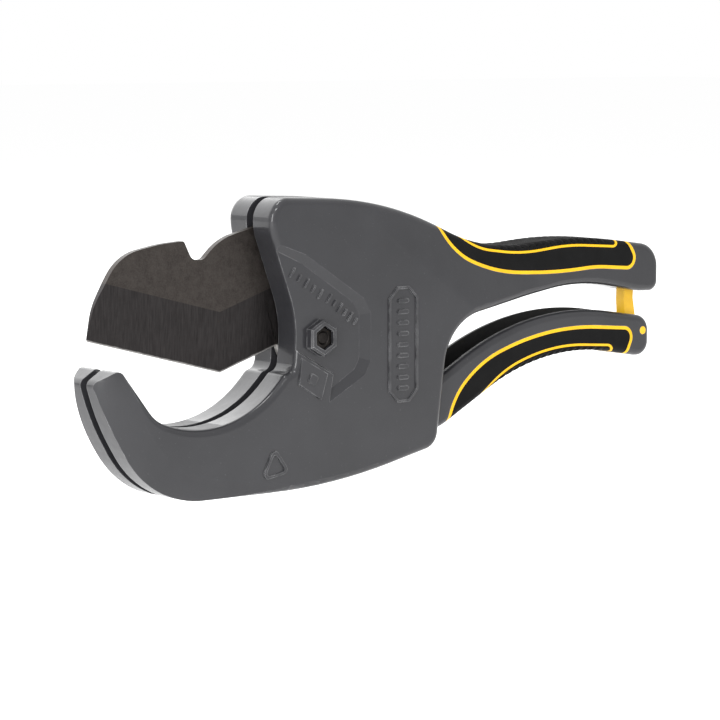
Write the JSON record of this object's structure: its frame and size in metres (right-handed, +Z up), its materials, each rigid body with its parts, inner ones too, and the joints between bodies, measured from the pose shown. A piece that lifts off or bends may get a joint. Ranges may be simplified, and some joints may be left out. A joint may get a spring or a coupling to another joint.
{
  "type": "pipe cutter",
  "caption": "Ratcheting hand shears for plastic pipe up to 63 mm, with a hooked jaw, bevelled blade and two rubber-gripped handles.",
  "frame": {"origin": "centre of the tool's bounding box, in the mid plane between the two body halves", "axes": "+X along the tool from the hooked jaw to the handles, +Z up with the blade above the jaw, +Y through the tool's thickness to the side with the screw heads"},
  "size_m": [0.3442, 0.039, 0.136],
  "materials": {
    "casting": "dark grey gloss paint on cast aluminium",
    "blade_steel": "brown-black oxide, ground bevel",
    "dark_fastener": "dark brown oxide",
    "steel": "bright ground steel",
    "spring_steel": "oiled spring steel",
    "brass": "turned",
    "grip_rubber": "smooth satin",
    "pad_rubber": "fine moulded texture",
    "yellow_rubber": "satin",
    "yellow_paint": "yellow powder coat",
    "liner_plastic": "fine matt"
  },
  "bodies": {
    "body": {"near_body_half": "casting", "far_body_half": "casting", "pivot_bolt": "dark_fastener", "pivot_nut": "dark_fastener", "pivot_bush": "brass", "thrust_washers": "brass", "blade_return_spring": "spring_steel", "blade_stop_pin": "steel", "handle_pivot_pin": "steel", "hold_pawl_pin": "steel", "hold_pawl_spring": "spring_steel", "catch_pin": "steel", "body_screws": "dark_fastener", "alignment_dowels": "steel", "upper_grip": "grip_rubber", "upper_grip_pad": "pad_rubber", "upper_grip_trim": "yellow_rubber"},
    "blade": {"blade": "blade_steel"},
    "handle": {"lower_handle": "casting", "lower_handle_liner": "liner_plastic", "handle_bushes": "brass", "handle_spring": "spring_steel", "drive_pawl_pin": "steel", "drive_pawl_spring": "spring_steel", "latch_pin": "yellow_paint", "lower_grip": "grip_rubber", "lower_grip_pad": "pad_rubber", "lower_grip_trim": "yellow_rubber"},
    "drive_pawl": {"drive_pawl": "steel"},
    "hold_pawl": {"hold_pawl": "steel"},
    "latch": {"latch": "yellow_paint"}
  },
  "joints": [
    {"name": "blade_swing", "type": "hinge", "parent": "body", "child": "blade", "pos_m": [-0.0505, 0, 0.0025], "axis": [0, 1, 0], "range_deg": [-28, 50]},
    {"name": "handle_squeeze", "type": "hinge", "parent": "body", "child": "handle", "pos_m": [0.009, 0, -0.04], "axis": [0, 1, 0], "range_deg": [0, 28]},
    {"name": "drive_pawl_swing", "type": "hinge", "parent": "handle", "child": "drive_pawl", "pos_m": [0.0218, 0, -0.0303], "axis": [0, 1, 0], "range_deg": [0, 10], "stiffness_Nm_per_rad": 0.05, "springref_deg": -11.46, "deforming": ["drive_pawl_spring"]},
    {"name": "hold_pawl_swing", "type": "hinge", "parent": "body", "child": "hold_pawl", "pos_m": [0.0215, 0, 0.0085], "axis": [0, 1, 0], "range_deg": [0, 10], "stiffness_Nm_per_rad": 0.05, "springref_deg": -11.46, "deforming": ["hold_pawl_spring"]},
    {"name": "latch_swing", "type": "hinge", "parent": "handle", "child": "latch", "pos_m": [0.161, 0, -0.007], "axis": [0, 1, 0], "range_deg": [0, 75]}
  ]
}
